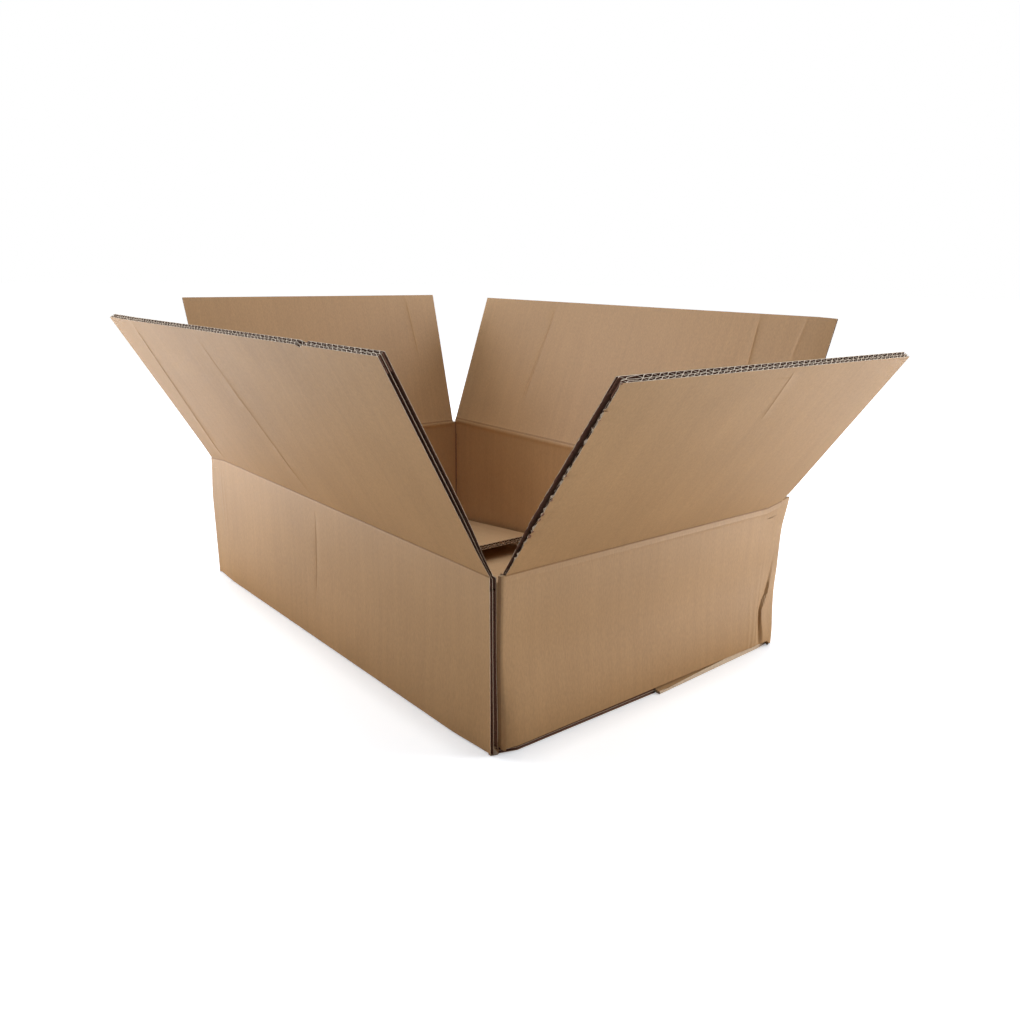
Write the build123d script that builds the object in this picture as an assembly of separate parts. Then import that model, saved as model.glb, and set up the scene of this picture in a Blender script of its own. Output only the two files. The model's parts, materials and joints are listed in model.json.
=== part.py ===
from build123d import *
import math
import os

# An open shipping box of double-wall corrugated board: one sheet, slotted, folded and glued along
# a tab at one corner, with its bottom flaps folded in and its four top flaps standing open.
# Millimetres, +Z up. The origin is the middle of the base. X runs along the long walls and Y along
# the short ones. The front wall faces -Y and the right wall faces +X.

# Outside sizes of the folded box
LENGTH = 600.0
WIDTH = 400.0
CREASE_HEIGHT = 161.3       # floor to the line on which the top flaps fold
FLAP_DEPTH = WIDTH / 2      # crease to free edge: the long flaps meet over the middle

# Double-wall board, from the outside in: liner, fine flute, liner, coarse flute, liner
LINER = 0.4
FINE_FLUTE = 2.5
COARSE_FLUTE = 3.1
FINE_PITCH = 6.6
COARSE_PITCH = 8.0
MEDIUM = 0.5                # thickness of the waved paper, measured across the board
MEDIUM_GAP = 0.05           # between a wave's crest and the liner over it
FLUTE_SHOW = 10.0           # depth to which a cut across the flutes is hollow
EDGE_GROOVE = 3.0           # depth to which a cut along the flutes is hollow
FINE_START = LINER
COARSE_START = FINE_START + FINE_FLUTE + LINER
BOARD = COARSE_START + COARSE_FLUTE + LINER
FLUTES = ((FINE_START, FINE_FLUTE, FINE_PITCH), (COARSE_START, COARSE_FLUTE, COARSE_PITCH))

# Folds, and the glued tab behind the near end of the front wall
FOLD_RADIUS = 3.0
TAB_BEND_RADIUS = 6.0
TAB_LENGTH = 38.0           # from the right wall's outside
TAB_BOARD = 5.2             # the tab is pressed thinner under the glue
TAB_TOP_DROP = 5.5          # the tab stops this far below the crease

# Clearances
CREASE_GAP = 0.3            # between a flap's root and the mitred top of its wall
STACK_GAP = 0.5             # between the short flaps and the long ones that shut over them
SEAM_GAP = 1.5              # between the two bottom flaps that meet near the middle
SEAM_SHIFT = 2.0            # how far behind the middle they meet
LAYER_GAP = 0.3             # between the bottom's two layers
OVERRUN = 1.0               # how far a cut runs past the board

# Slots between neighbouring flaps: what they take from each end of a flap
LONG_INSET = 5.5
SHORT_INSET = 12.6

# Open top flaps, degrees outwards from upright
FRONT_LEAN = 28.6
BACK_LEAN = 18.3
LEFT_LEAN = 15.5
RIGHT_LEAN = 35.0
OPEN_LIMIT = 135.0
ROOT_BEVEL = 1.5            # crushed inner edge of a flap's root
ROOT_TOE = 6.0              # height over which a short flap's outer face runs out to its axis
SHUT_RISE = (BOARD + STACK_GAP) / 2

# Bottom: the left inner flap springs up, and the back outer flap has slipped out of square
INNER_LIFT = 5.0
BOTTOM_END_INSET = 2.0
BACK_SLIP = 8.0             # how far the slipped flap moves out along its seam edge

# Wear: a crushed nick in the front flap's free edge, and a dent low on the far right corner
NICK_DISTANCE = 180.0       # from the middle of the flap
NICK_WIDTH = 12.0
NICK_DEPTH = 9.0
DENT_DEPTH = 2.8
DENT_SPAN = 85.0
DENT_HEIGHT = 42.0

HALF_LENGTH = LENGTH / 2
HALF_WIDTH = WIDTH / 2
INNER_FLOOR = BOARD + LAYER_GAP


def section(points, length):
    """Solid with the outline points (y, z), run along X about the middle."""
    return extrude(make_face(Plane.YZ * Polyline(points, close=True)), length / 2, both=True)


def block(x, y, z):
    """Box between the limits x, y and z, each a pair from low to high."""
    size = [high - low for low, high in (x, y, z)]
    middle = [(high + low) / 2 for low, high in (x, y, z)]
    return Pos(*middle) * Box(*size)


def crease_axis(lean, side):
    """Height of a flap's axis and offset of its outer face, so that it leans on the crease line.

    side is 1 for a long flap, which shuts above the crease line, and -1 for a short one, below it.
    """
    slope = math.sin(math.radians(lean))
    height = CREASE_HEIGHT + side * SHUT_RISE / (1 + slope)
    offset = side * SHUT_RISE * slope / (1 + slope)
    return height, offset


def wave(length, start, height, pitch, face, top):
    """Ribbon of waved paper at a cut across the flutes, with a whole number of half waves."""
    halves = int(length // (pitch / 2))
    step = length / halves
    valley = face + start + MEDIUM_GAP
    crest = face + start + height - MEDIUM_GAP - MEDIUM
    lower = [(index * step - length / 2, crest if index % 2 else valley) for index in range(halves + 1)]
    upper = [(x, y + MEDIUM) for x, y in reversed(lower)]
    outline = make_face(Polyline(lower + upper, close=True))
    return Pos(0, 0, top - FLUTE_SHOW) * extrude(outline, FLUTE_SHOW)


def hollow_sides(board, length, face, bottom, top):
    """Cut the grooves that a cut along the flutes leaves in both ends of a panel that stands on X."""
    for start, height, _ in FLUTES:
        layer = (face + start, face + start + height)
        for end in (-1, 1):
            groove = sorted((end * (length / 2 - EDGE_GROOVE), end * (length / 2 + OVERRUN)))
            board -= block(groove, layer, (bottom, top))
    return board


def hollow_top(board, length, face, top, waved):
    """Open the flutes along a panel's free edge, with their waved paper inside."""
    for start, height, pitch in FLUTES:
        layer = (face + start, face + start + height)
        across = (-length / 2 - OVERRUN, length / 2 + OVERRUN)
        board -= block(across, layer, (top - FLUTE_SHOW, top + OVERRUN))
        if waved:
            board += wave(length - 2 * EDGE_GROOVE, start, height, pitch, face, top)
    return board


def flap(length, lean, side):
    """Top flap on its axis along X at the origin, leaning towards -Y."""
    height, offset = crease_axis(lean, side)
    outer = -offset
    inner = outer + BOARD
    top = FLAP_DEPTH - (height - CREASE_HEIGHT) * math.cos(math.radians(lean))
    toe = CREASE_GAP - outer / math.tan(math.radians(180.0 - OPEN_LIMIT)) if outer < 0 else ROOT_TOE
    bevel = inner - ROOT_BEVEL
    mitre = [(0, CREASE_GAP), (bevel, CREASE_GAP + bevel), (inner, CREASE_GAP + inner + ROOT_BEVEL)]
    panel = section([(inner, top), (outer, top), (outer, toe)] + mitre, length)
    panel = hollow_sides(panel, length, outer, 0, top + OVERRUN)
    return hollow_top(panel, length, outer, top, waved=True), top, outer


def stand(panel, lean, side, reach, turn):
    """Put a flap on its wall: lean it out, lift it to its axis and turn it to its side of the box."""
    height, _ = crease_axis(lean, side)
    return Rot(0, 0, turn) * Pos(0, -reach, height) * Rot(lean, 0, 0) * panel


def front_flap():
    panel, top, outer = flap(LENGTH - 2 * LONG_INSET, FRONT_LEAN, 1)
    half = NICK_WIDTH / 2
    mouth = top + OVERRUN
    tip = [(NICK_DISTANCE - half, mouth), (NICK_DISTANCE + half, mouth), (NICK_DISTANCE, top - NICK_DEPTH)]
    pressed = outer + FINE_START + FINE_FLUTE
    nick = extrude(make_face(Plane.XZ * Polyline(tip, close=True)), OVERRUN - outer)
    nick += extrude(make_face(Plane.XZ * Polyline(tip, close=True)), -pressed)
    return stand(panel - nick, FRONT_LEAN, 1, HALF_WIDTH, 0)


def back_flap():
    panel, _, _ = flap(LENGTH - 2 * LONG_INSET, BACK_LEAN, 1)
    return stand(panel, BACK_LEAN, 1, HALF_WIDTH, 180)


def right_flap():
    panel, _, _ = flap(WIDTH - 2 * SHORT_INSET, RIGHT_LEAN, -1)
    return stand(panel, RIGHT_LEAN, -1, HALF_LENGTH, 90)


def left_flap():
    panel, _, _ = flap(WIDTH - 2 * SHORT_INSET, LEFT_LEAN, -1)
    return stand(panel, LEFT_LEAN, -1, HALF_LENGTH, -90)


def wall(length, lean, side, foot):
    """Wall with its outside at y = 0 and a mitred top, rounded where it folds into the bottom."""
    height, _ = crease_axis(lean, side)
    top = height - CREASE_GAP
    panel = section([(0, foot), (0, top), (BOARD, top - BOARD), (BOARD, foot)], length)
    fold = panel.edges().filter_by(Axis.X).group_by(Axis.Z)[0].sort_by(Axis.Y)[0]
    return fillet(fold, FOLD_RADIUS)


def rounded_end(panel, end, radius):
    """Round the outer corner of a wall at one end, -1 or 1, where the board folds on."""
    corners = panel.edges().filter_by(Axis.Z).group_by(Axis.Y)[0].sort_by(Axis.X)
    return fillet(corners[0] if end < 0 else corners[-1], radius)


def walls():
    """Four walls round the box, with the tab glued behind the near end of the front wall."""
    front = rounded_end(wall(LENGTH, FRONT_LEAN, 1, 0), -1, FOLD_RADIUS)
    raw_end = (HALF_LENGTH - EDGE_GROOVE, HALF_LENGTH + OVERRUN)
    for start, height, _ in FLUTES:
        front -= block(raw_end, (start, start + height), (BOARD, CREASE_HEIGHT + BOARD))
    back = rounded_end(wall(LENGTH, BACK_LEAN, 1, 0), -1, FOLD_RADIUS)
    back = rounded_end(back, 1, FOLD_RADIUS)
    across = WIDTH - 2 * BOARD
    left = wall(across, LEFT_LEAN, -1, INNER_FLOOR)
    right = rounded_end(wall(across, RIGHT_LEAN, -1, INNER_FLOOR), -1, TAB_BEND_RADIUS)
    glued = BOARD - HALF_WIDTH
    tab_foot = INNER_FLOOR + BOARD + LAYER_GAP
    tab = block(
        (HALF_LENGTH - TAB_LENGTH, HALF_LENGTH - BOARD),
        (glued, glued + TAB_BOARD),
        (tab_foot, CREASE_HEIGHT - TAB_TOP_DROP),
    )
    ring = Pos(0, -HALF_WIDTH, 0) * front + Rot(0, 0, 180) * Pos(0, -HALF_WIDTH, 0) * back
    ring += Rot(0, 0, -90) * Pos(0, -HALF_LENGTH, 0) * left
    ring += Rot(0, 0, 90) * Pos(0, -HALF_LENGTH, 0) * right
    return ring + tab


def outer_bottom_flap(depth, slip):
    """Long bottom flap in the front wall's frame, its seam edge moved by slip along X."""
    half = HALF_LENGTH - BOTTOM_END_INSET
    turn = slip / (depth - BOARD)

    def outline(half_length):
        seam = (-half_length + slip, half_length + slip)
        points = [(-half_length, BOARD), (half_length, BOARD), (seam[1], depth), (seam[0], depth)]
        return make_face(Polyline(points, close=True))

    panel = extrude(outline(half), BOARD)
    core = outline(half + OVERRUN) - outline(half - EDGE_GROOVE / math.cos(math.atan(turn)))
    for start, height, _ in FLUTES:
        panel -= Pos(0, 0, start) * extrude(core, height)
    return panel


def inner_bottom_flap(lift):
    """Short bottom flap in its wall's frame, hinged at the wall's inside and lifted by an angle."""
    length = WIDTH - 2 * SHORT_INSET
    depth = FLAP_DEPTH - BOARD
    panel = block((-length / 2, length / 2), (0, BOARD), (0, depth))
    panel = hollow_sides(panel, length, 0, 0, depth + OVERRUN)
    panel = hollow_top(panel, length, 0, depth, waved=False)
    return Pos(0, BOARD, INNER_FLOOR) * Rot(lift, 0, 0) * Rot(-90, 0, 0) * Pos(0, -BOARD, 0) * panel


def corner_dent():
    """Cutter for the shallow dent in the far right corner."""
    depth = DENT_DEPTH + FOLD_RADIUS * (math.sqrt(2) - 1)
    radius = ((DENT_SPAN / 2) ** 2 + depth**2) / (2 * depth)
    away = (radius - depth) / math.sqrt(2)
    place = (HALF_LENGTH + away, HALF_WIDTH + away, DENT_HEIGHT)
    return Plane(origin=place, x_dir=(0, 0, 1), z_dir=(1, -1, 0)) * Cylinder(radius, DENT_SPAN)


def box_shell():
    """Walls, tab and bottom: one folded sheet."""
    shell = walls()
    front_depth = HALF_WIDTH + SEAM_SHIFT - SEAM_GAP / 2
    back_depth = HALF_WIDTH - SEAM_SHIFT - SEAM_GAP / 2
    shell += Pos(0, -HALF_WIDTH, 0) * outer_bottom_flap(front_depth, 0)
    shell += Rot(0, 0, 180) * Pos(0, -HALF_WIDTH, 0) * outer_bottom_flap(back_depth, -BACK_SLIP)
    shell += Rot(0, 0, -90) * Pos(0, -HALF_LENGTH, 0) * inner_bottom_flap(INNER_LIFT)
    shell += Rot(0, 0, 90) * Pos(0, -HALF_LENGTH, 0) * inner_bottom_flap(0)
    return shell - corner_dent()


NODES = {
    "box_shell": box_shell,
    "front_flap": front_flap,
    "back_flap": back_flap,
    "left_flap": left_flap,
    "right_flap": right_flap,
}

os.makedirs("parts", exist_ok=True)
for name, make in NODES.items():
    export_step(make(), f"parts/{name}.step")
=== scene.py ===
import json
import math
import random

import bmesh
import bpy
from bpy.props import FloatProperty, FloatVectorProperty, PointerProperty
from mathutils import Matrix, Vector

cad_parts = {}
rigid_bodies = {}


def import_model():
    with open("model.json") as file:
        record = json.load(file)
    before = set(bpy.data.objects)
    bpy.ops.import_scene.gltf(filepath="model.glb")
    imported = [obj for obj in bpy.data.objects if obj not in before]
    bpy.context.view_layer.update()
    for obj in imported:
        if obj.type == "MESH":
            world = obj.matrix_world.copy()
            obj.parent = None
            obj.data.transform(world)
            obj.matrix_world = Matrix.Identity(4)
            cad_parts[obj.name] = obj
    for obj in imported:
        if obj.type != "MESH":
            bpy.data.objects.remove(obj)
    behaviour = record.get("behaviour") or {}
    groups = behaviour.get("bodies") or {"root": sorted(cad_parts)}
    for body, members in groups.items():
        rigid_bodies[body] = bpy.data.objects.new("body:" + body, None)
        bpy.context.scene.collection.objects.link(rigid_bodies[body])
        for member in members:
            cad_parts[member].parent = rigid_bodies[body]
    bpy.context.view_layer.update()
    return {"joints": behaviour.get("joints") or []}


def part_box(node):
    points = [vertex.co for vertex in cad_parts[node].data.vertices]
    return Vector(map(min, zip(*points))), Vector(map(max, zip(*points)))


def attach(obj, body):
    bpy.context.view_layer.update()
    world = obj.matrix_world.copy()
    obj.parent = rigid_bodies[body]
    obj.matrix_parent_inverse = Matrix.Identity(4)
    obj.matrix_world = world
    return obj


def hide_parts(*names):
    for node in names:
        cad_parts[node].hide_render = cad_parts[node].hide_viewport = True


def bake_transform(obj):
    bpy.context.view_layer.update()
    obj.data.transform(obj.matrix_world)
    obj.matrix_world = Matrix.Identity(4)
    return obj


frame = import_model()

bl_info = {
    "name": "Open Cardboard Box",
    "version": (1, 0, 0),
    "blender": (4, 5, 0),
    "location": "View3D > Sidebar > Box",
    "description": "Models an open box of double-wall corrugated board over its packed frame",
    "category": "Add Mesh",
}

SHELL_LOW, SHELL_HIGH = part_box("box_shell")
JOINTS = {joint["child"]: joint for joint in frame["joints"]}
MM = 0.001
SHUT_TURN = 90.0
SHARP_ANGLE = math.radians(28.0)

# Slacks: places that touch, places that count as one, and vertices that are merged
TOUCH = 0.1 * MM
SLACK = 0.2 * MM
MERGE = 0.02 * MM

# Spaces between the cuts along a panel, up a flap, up the torn flap and over the walls
PANEL_STEP = 20 * MM
FLAP_STEP = 8 * MM
TORN_STEP = 3.1 * MM
WALL_STEP = 12 * MM

# Turns that round a crease, and the height above it over which a flap's twist sets in
FOLD_TURNS = 6
TWIST_RISE = 30 * MM

# Depth of the right wall's outer part that moves where its foot sags or is crushed
FACE_DEPTH = 3.2 * MM

FLAPS = ("front_flap", "back_flap", "left_flap", "right_flap")
TURNS = {"front_flap": 0.0, "back_flap": 180.0, "left_flap": -90.0, "right_flap": 90.0}

# Extra lean in degrees at the two ends of a flap, as it stands a little twisted
TWISTS = {"front_flap": (1.8, 0.0), "back_flap": (1.0, -0.5), "left_flap": (-0.6, 2.0)}

# Height of the bend above the crease line, in millimetres, where the board gives above the crease
RISES = {"front_flap": 0.0, "back_flap": 9.0, "left_flap": 6.0, "right_flap": 0.0}

# Lines pressed along the flutes: face, two ends along and up the panel, height and width, in millimetres
SCORES = {
    "front_flap": (
        ("outer", (-216, 200), (-240, 4), 0.75, 1.2),
        ("outer", (-39, 191), (-10, 23), 0.45, 0.9),
        ("outer", (-36, 150), (-4, 4), 0.4, 0.9),
    ),
    "right_flap": (("outer", (11, 195), (17, 144), 0.4, 0.9),),
    "back_flap": (
        ("inner", (134, 199), (150, 50), 0.6, 1.1),
        ("inner", (141, 150), (156, 50), 0.5, 1.1),
        ("inner", (-202, 198), (-208, 110), 0.7, 1.1),
        ("inner", (-262, 198), (-257, 150), 0.6, 1.6),
    ),
    "left_flap": (("inner", (-137, 199), (-145, 105), 0.5, 1.1),),
    "front_wall": (
        ("outer", (-3, 148), (-9, 49), -0.55, 0.9),
        ("outer", (-263, 148), (-261, 70), 0.3, 1.0),
        ("outer", (-254, 148), (-253, 62), 0.25, 1.0),
    ),
}

# Valley fold of the crushed far right corner: heights, and places from the wall's middle, in millimetres
VALLEY = ((0, 171.5), (5, 171.5), (42, 170.5), (48, 171), (66, 181.5), (110, 190))

# Wrinkles beside it: place from the wall's middle in millimetres, lean, and height in millimetres
WRINKLES = ((162.5, 0.10, 0.75), (155, 0.12, 0.7), (148, 0.05, 0.4))

# Floor: size, drop below the box, and distances over which its bounce, glow and contact shadow change
FLOOR_SIZE = 40.0
FLOOR_DROP = 0.2 * MM
BOUNCE_REACH = (0.4, 0.8)
GLOW_REACH = (0.45, 0.9)
CONTACT_REACH = 30 * MM

# Soft lamps: place, aim, size, power in watts and colour
PLAIN_LIGHT, COOL_LIGHT = (0.98, 1.0, 1.02), (0.9, 1.0, 1.15)
LAMPS = {
    "left_softbox": ((-1.05, -0.95, 0.6), (-0.3, -0.2, 0.75), (0.7, 1.8), 24.5, PLAIN_LIGHT),
    "right_softbox": ((0.95, 1.0, 0.6), (0.38, 0.2, 0.75), (0.7, 1.8), 24.5, PLAIN_LIGHT),
    "high_softbox": ((1.0, -1.0, 2.5), (0, 0, 0.2), (1.5, 1.5), 8.0, COOL_LIGHT),
    "top_softbox": ((-0.45, 0.3, 2.2), (-0.2, 0.1, 0), (2.0, 2.0), 40.0, COOL_LIGHT),
}


def length_property(name, description, millimetres):
    """A length in millimetres as a property in metres."""
    return FloatProperty(
        name=name, description=description, default=millimetres * MM, precision=5, unit="LENGTH"
    )


def angle_property(name, description, degrees):
    """An angle in degrees as a property."""
    return FloatProperty(name=name, description=description, default=math.radians(degrees), subtype="ANGLE")


def colour_property(name, description, colour):
    return FloatVectorProperty(
        name=name, description=description, subtype="COLOR", size=3, default=colour, min=0.0, max=1.0
    )


class BoardSizes(bpy.types.PropertyGroup):
    """The double-wall board, from the outside in."""

    liner: length_property("Liner", "Thickness of each of the three flat papers", 0.4)
    fine_flute: length_property("Fine flute", "Height of the outer row of flutes", 2.5)
    coarse_flute: length_property("Coarse flute", "Height of the inner row of flutes", 3.1)
    fine_pitch: length_property("Fine pitch", "Distance between the outer row's crests", 6.6)
    coarse_pitch: length_property("Coarse pitch", "Distance between the inner row's crests", 8.0)
    medium: length_property("Medium", "Thickness of the waved paper", 0.5)
    wave_depth: length_property("Wave depth", "Depth to which an end cut is open", 14.0)
    end_recess: length_property("End recess", "Depth of the flute rows in the shell's cut ends", 3.0)
    side_recess: length_property("Side recess", "Depth to which a cut along the flutes is open", 16.0)


class BoxSizes(bpy.types.PropertyGroup):
    """The folded box."""

    crease_height: length_property("Crease height", "Floor to the top crease", 161.3)
    flap_depth: length_property("Flap depth", "Crease to free edge", 200.0)
    long_inset: length_property("Long inset", "Slot taken from each end of a long flap", 5.5)
    short_inset: length_property("Short inset", "Slot taken from each end of a short flap", 12.6)
    raw_inset: length_property("Raw inset", "Set-back of the bottom flap under the raw wall end", 2.0)
    crease_band: length_property("Crease band", "Half height of the board that bends at a crease", 12.0)
    crease_round: length_property("Crease round", "Half height of the rounded crease line", 2.6)
    fold_radius: length_property("Fold radius", "Outside radius of the folded corners", 3.0)
    tab_bend: length_property("Tab bend", "Outside radius of the bend into the glued tab", 4.5)
    tab_length: length_property("Tab length", "Glued tab behind the raw wall end", 38.0)
    tab_drop: length_property("Tab drop", "How far the tab stops below the crease", 5.5)
    layer_gap: length_property("Layer gap", "Gap between the bottom's two layers", 0.3)
    seam_shift: length_property("Seam shift", "How far behind the middle the bottom flaps meet", 2.0)
    seam_gap: length_property("Seam gap", "Gap between the two outer bottom flaps", 1.5)
    back_slip: length_property("Back slip", "How far the back bottom flap has slipped out", 8.5)
    raw_head: length_property("Raw head", "How short the raw wall end is at the crease", 4.6)
    meet_height: length_property("Meet height", "Height over which the front flap meets the raw end", 25.0)
    raw_foot: length_property("Raw foot", "How short the raw wall end is at the floor", 1.2)
    bulge_right: length_property("Right bulge", "How far the foot of the right wall is pushed out", 8.0)
    bulge_front: length_property("Front bulge", "How far the foot of the front wall is pushed out", 3.0)
    lift_start: length_property("Lift start", "Where the lifted flap leaves its fold", 15.0)
    nick_place: length_property("Nick place", "Nick in the front flap, from its middle", 180.0)
    nick_width: length_property("Nick width", "Half width of the nick", 6.0)
    nick_depth: length_property("Nick depth", "Depth of the nick", 2.8)
    bead_drop: length_property("Bead drop", "Bead below the right crease", 5.5)
    strip_bend: angle_property("Strip bend", "Bend of the front flap beyond its pressed line", 0.7)
    inner_lift: angle_property("Inner lift", "How far the left inner bottom flap springs up", 5.0)


class KraftColours(bpy.types.PropertyGroup):
    """Colours of the papers."""

    liner: colour_property("Liner", "Brown kraft paper of the faces", (0.49, 0.292, 0.138))
    # Painted shade: the pressed colour is a darker liner laid along the creases and on the tab bend beside
    # the raw wall end, where shade falls
    pressed: colour_property("Pressed", "Kraft paper where it is pressed or folded", (0.33, 0.175, 0.07))
    edge: colour_property("Cut edge", "Pale fibres of a cut paper edge", (0.72, 0.58, 0.43))
    # The medium colour is also used as painted shade in the upright corner folds
    medium: colour_property("Medium", "Waved paper between the liners", (0.26, 0.13, 0.085))


class StageLook(bpy.types.PropertyGroup):
    """Floor, light and camera."""

    floor: colour_property("Floor", "Colour of the plain floor", (0.82, 0.85, 0.88))
    bounce: colour_property("Bounce", "Light the floor throws back beside the box", (0.62, 0.5, 0.38))
    far_bounce: colour_property("Far bounce", "Light the floor throws back further away", (1.0, 1.0, 1.0))
    lens: FloatProperty(name="Lens", description="Focal length in millimetres", default=30.252)
    shift: FloatProperty(name="Shift", description="Camera shift upwards, share of the frame", default=0.0577)
    camera: FloatVectorProperty(
        name="Camera", description="Where the camera stands", subtype="TRANSLATION", size=3,
        default=(0.800651, -0.597749, 0.391443),
    )
    azimuth: angle_property("Azimuth", "Turn of the camera round the box, from the front", 50.352)
    elevation: angle_property("Elevation", "How far the camera looks down", 19.095)
    roll: angle_property("Roll", "Turn of the camera about its line of sight", 1.03)


def board():
    return bpy.context.scene.carton_board


def box():
    return bpy.context.scene.carton_box


def colours():
    return bpy.context.scene.carton_colours


def look():
    return bpy.context.scene.carton_stage


def board_thickness():
    return 3 * board().liner + board().fine_flute + board().coarse_flute


def outer_length():
    return -2 * SHELL_LOW.x


def outer_width():
    return SHELL_HIGH.y - SHELL_LOW.y


def half_sizes():
    return outer_length() / 2, outer_width() / 2


# Modelling helpers


def settle():
    """Leave the place, turn and scale of the active piece in its mesh."""
    bpy.ops.object.transform_apply(location=True, rotation=True, scale=True)


def extrude(move):
    """Extrude what is selected in edit mode."""
    bpy.ops.mesh.extrude_region_move(TRANSFORM_OT_translate={"value": move})


def add_block(name, low, high):
    """Cube primitive stretched between two corners, with its place in its mesh."""
    low, high = Vector(low), Vector(high)
    bpy.ops.object.select_all(action="DESELECT")
    bpy.ops.mesh.primitive_cube_add(size=1.0, location=(low + high) / 2)
    piece = bpy.context.object
    piece.name = name
    piece.scale = high - low
    settle()
    return piece


def activate(piece):
    """Select one piece alone."""
    bpy.ops.object.select_all(action="DESELECT")
    piece.select_set(True)
    bpy.context.view_layer.objects.active = piece


def edit(piece):
    """Open one piece alone in edit mode."""
    if bpy.context.mode != "OBJECT":
        bpy.ops.object.mode_set(mode="OBJECT")
    activate(piece)
    bpy.ops.object.mode_set(mode="EDIT")


def leave():
    bpy.ops.object.mode_set(mode="OBJECT")


def pick(piece, kind, test):
    """Select the vertices, edges or faces of a piece in edit mode that pass a test."""
    mode = {"verts": "VERT", "edges": "EDGE", "faces": "FACE"}[kind]
    bpy.ops.mesh.select_mode(type=mode)
    bpy.ops.mesh.select_all(action="DESELECT")
    mesh = bmesh.from_edit_mesh(piece.data)
    for element in getattr(mesh, kind):
        if test(element):
            element.select_set(True)
    mesh.select_flush_mode()
    bmesh.update_edit_mesh(piece.data)


def axis_normal(axis):
    return Vector((axis == "x", axis == "y", axis == "z"))


def slice_at(axis, places):
    """Cut everything in edit mode by planes across one axis."""
    normal = axis_normal(axis)
    for place in places:
        bpy.ops.mesh.select_all(action="SELECT")
        bpy.ops.mesh.bisect(plane_co=normal * place, plane_no=normal)


def cut_faces(piece, test, where, normal):
    """Cut the faces that pass a test by one plane."""
    pick(piece, "faces", test)
    bpy.ops.mesh.bisect(plane_co=where, plane_no=normal)


def spread(low, high, step):
    """Places between two limits, evenly spaced at about a step."""
    count = max(1, round((high - low) / step))
    return [low + (high - low) * index / count for index in range(1, count)]


def join(name, pieces):
    """Join pieces into the first one."""
    bpy.ops.object.select_all(action="DESELECT")
    for piece in pieces:
        piece.select_set(True)
    bpy.context.view_layer.objects.active = pieces[0]
    bpy.ops.object.join()
    pieces[0].name = name
    pieces[0].data.name = name
    return pieces[0]


def place(piece, turn, where):
    """Turn a piece about Z and move it, with its place left in its mesh."""
    activate(piece)
    piece.rotation_euler = (0, 0, turn)
    piece.location = where
    settle()


def apply_modifier(piece, name):
    activate(piece)
    bpy.ops.object.modifier_apply(modifier=name)


# Finishes


def new_material(name, roughness, gloss):
    """Material with its node tree and its shader."""
    material = bpy.data.materials.new(name)
    material.use_nodes = True
    shader = material.node_tree.nodes["Principled BSDF"]
    shader.inputs["Roughness"].default_value = roughness
    shader.inputs["Specular IOR Level"].default_value = gloss
    return material, material.node_tree, shader


def noise(tree, scale, detail, stretch=(1.0, 1.0, 1.0)):
    """Noise over the space of a piece, stretched along its axes."""
    where = tree.nodes.new("ShaderNodeTexCoord")
    mapping = tree.nodes.new("ShaderNodeMapping")
    mapping.inputs["Scale"].default_value = stretch
    tree.links.new(where.outputs["Object"], mapping.inputs["Vector"])
    texture = tree.nodes.new("ShaderNodeTexNoise")
    texture.inputs["Scale"].default_value = scale
    texture.inputs["Detail"].default_value = detail
    tree.links.new(mapping.outputs["Vector"], texture.inputs["Vector"])
    return texture.outputs["Fac"]


def map_range(tree, value, start, end, low, high):
    """A value mapped from one range to another."""
    node = tree.nodes.new("ShaderNodeMapRange")
    for socket, number in zip(("From Min", "From Max", "To Min", "To Max"), (start, end, low, high)):
        node.inputs[socket].default_value = number
    tree.links.new(value, node.inputs["Value"])
    return node.outputs["Result"]


def factor(tree, fibres, low, high):
    """Noise as a factor between two limits."""
    return map_range(tree, fibres, 0.3, 0.7, low, high)


def math_node(tree, operation, first, second):
    """One value from two, each a number or the output of another node."""
    node = tree.nodes.new("ShaderNodeMath")
    node.operation = operation
    for socket, value in zip(node.inputs, (first, second)):
        if isinstance(value, float):
            socket.default_value = value
        else:
            tree.links.new(value, socket)
    return node.outputs["Value"]


def tint(tree, shader, colour, tone):
    """Base colour of a paper, scaled by a tone."""
    node = tree.nodes.new("ShaderNodeVectorMath")
    node.operation = "SCALE"
    node.inputs[0].default_value = colour
    tree.links.new(tone, node.inputs["Scale"])
    tree.links.new(node.outputs["Vector"], shader.inputs["Base Color"])


def kraft_liner(name, across, colour):
    """Kraft paper whose flutes show faintly as stripes across one axis, x or y."""
    _, tree, shader = new_material(name, 0.5, 0.4)
    stripes = (1.0, 0.08, 0.04) if across == "x" else (0.08, 1.0, 0.04)
    mottle = factor(tree, noise(tree, 9.0, 3.0), 0.95, 1.05)
    fibre = factor(tree, noise(tree, 700.0, 3.0, (1.0, 1.0, 0.35)), 0.93, 1.07)
    streak = factor(tree, noise(tree, 150.0, 2.0, stripes), 0.972, 1.028)
    tone = math_node(tree, "MULTIPLY", math_node(tree, "MULTIPLY", mottle, fibre), streak)
    tint(tree, shader, colour, tone)
    grain = math_node(tree, "MULTIPLY", noise(tree, 1500.0, 2.0, (1.0, 1.0, 0.5)), 0.35)
    relief = math_node(tree, "ADD", grain, noise(tree, 150.0, 1.0, stripes))
    bump = tree.nodes.new("ShaderNodeBump")
    bump.inputs["Strength"].default_value = 0.12
    bump.inputs["Distance"].default_value = 0.6 * MM
    tree.links.new(relief, bump.inputs["Height"])
    tree.links.new(bump.outputs["Normal"], shader.inputs["Normal"])


def paper(name, colour, low, high, scale):
    """Plain paper fibres: the cut edges and the waved medium."""
    _, tree, shader = new_material(name, 0.9, 0.2)
    tint(tree, shader, colour, factor(tree, noise(tree, scale, 3.0), low, high))


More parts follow.
